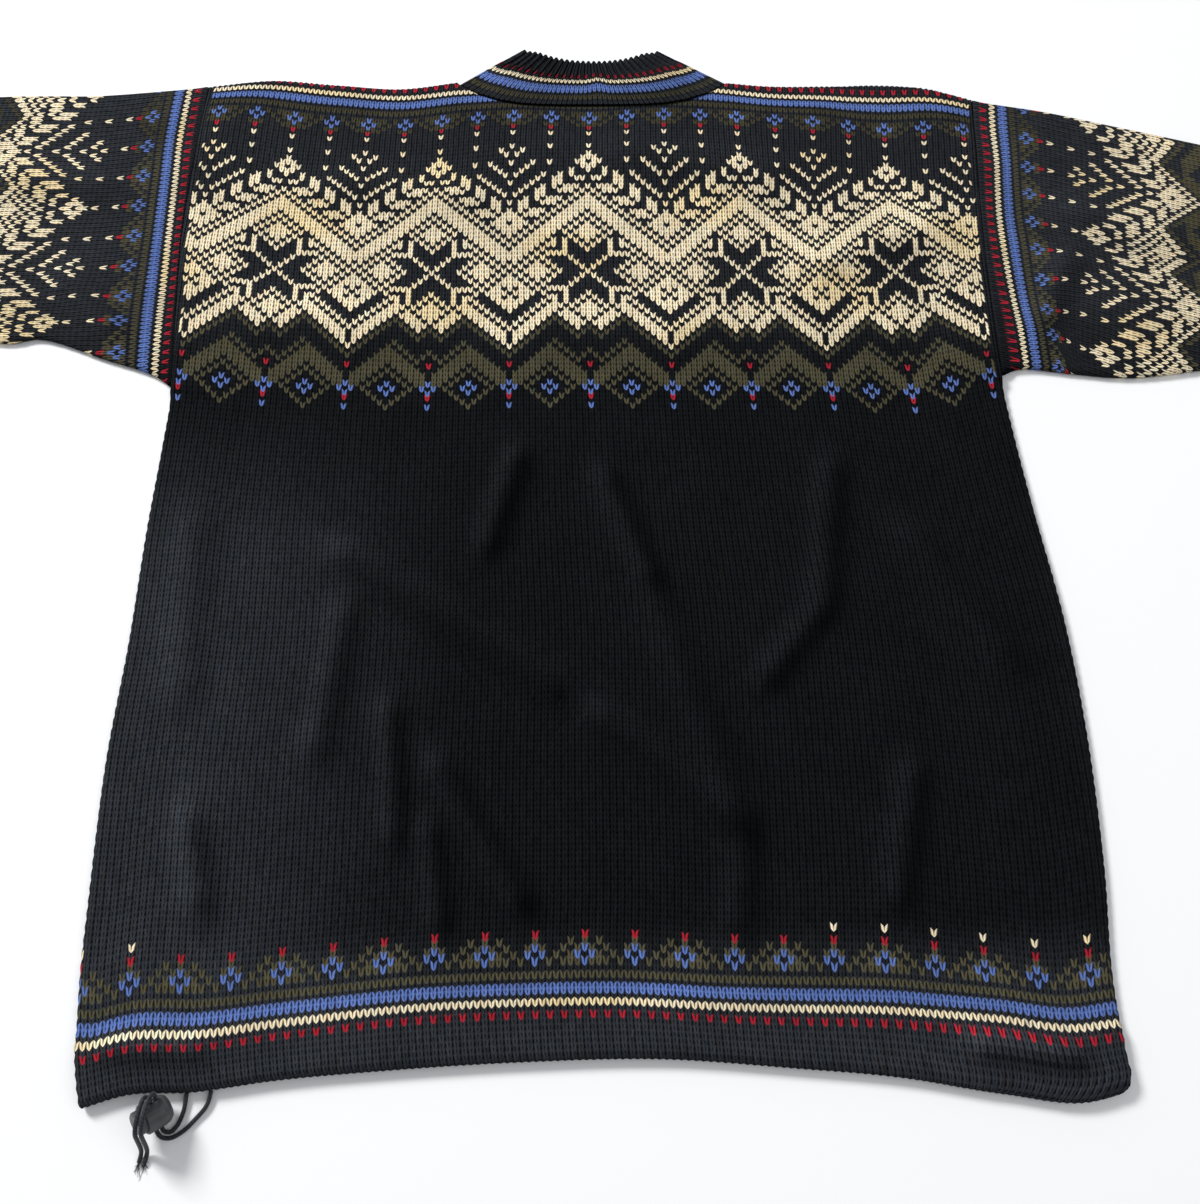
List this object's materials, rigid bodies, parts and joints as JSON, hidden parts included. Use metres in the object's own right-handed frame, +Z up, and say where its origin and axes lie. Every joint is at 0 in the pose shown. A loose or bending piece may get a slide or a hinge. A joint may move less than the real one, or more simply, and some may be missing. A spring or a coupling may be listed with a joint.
{
  "type": "nordic sweater",
  "caption": "Wool pullover with drop shoulders, ribbed mock neck, knitted star bands and a drawcord hem with a cord lock, laid flat with its back up.",
  "frame": {"origin": "on the surface the sweater lies on, under the middle of the garment's box", "axes": "+X to the right as the back is seen with the collar up, +Y from the hem towards the collar, +Z up from the surface"},
  "size_m": [1.5554, 0.837, 0.0272],
  "materials": {
    "body_wool": "stranded wool knit, black ground with cream, blue, olive and red",
    "collar_wool": "ribbed wool knit with stripes at its base",
    "sleeve_wool": "stranded wool knit, black ground with cream, blue, olive and red",
    "cuff_wool": "plain wool knit",
    "lock_plastic": "fine matt",
    "elastic_cord": "braided"
  },
  "bodies": {
    "sweater": {"front_panel": "body_wool", "back_panel": "body_wool", "collar": "collar_wool", "sleeve_left": "sleeve_wool", "sleeve_right": "sleeve_wool", "cuff_left": "cuff_wool", "cuff_right": "cuff_wool", "cord_lock_barrel": "lock_plastic", "drawcord_loop_a": "elastic_cord", "drawcord_loop_b": "elastic_cord", "drawcord_end_a": "elastic_cord", "drawcord_end_b": "elastic_cord"},
    "lock_button": {"cord_lock_button": "lock_plastic"}
  },
  "joints": [
    {"name": "lock_button_press", "type": "slide", "parent": "sweater", "child": "lock_button", "axis": [0.7042, 0.5041, -0.5], "range_m": [0, 0.0035], "stiffness_N_per_m": 1500}
  ]
}
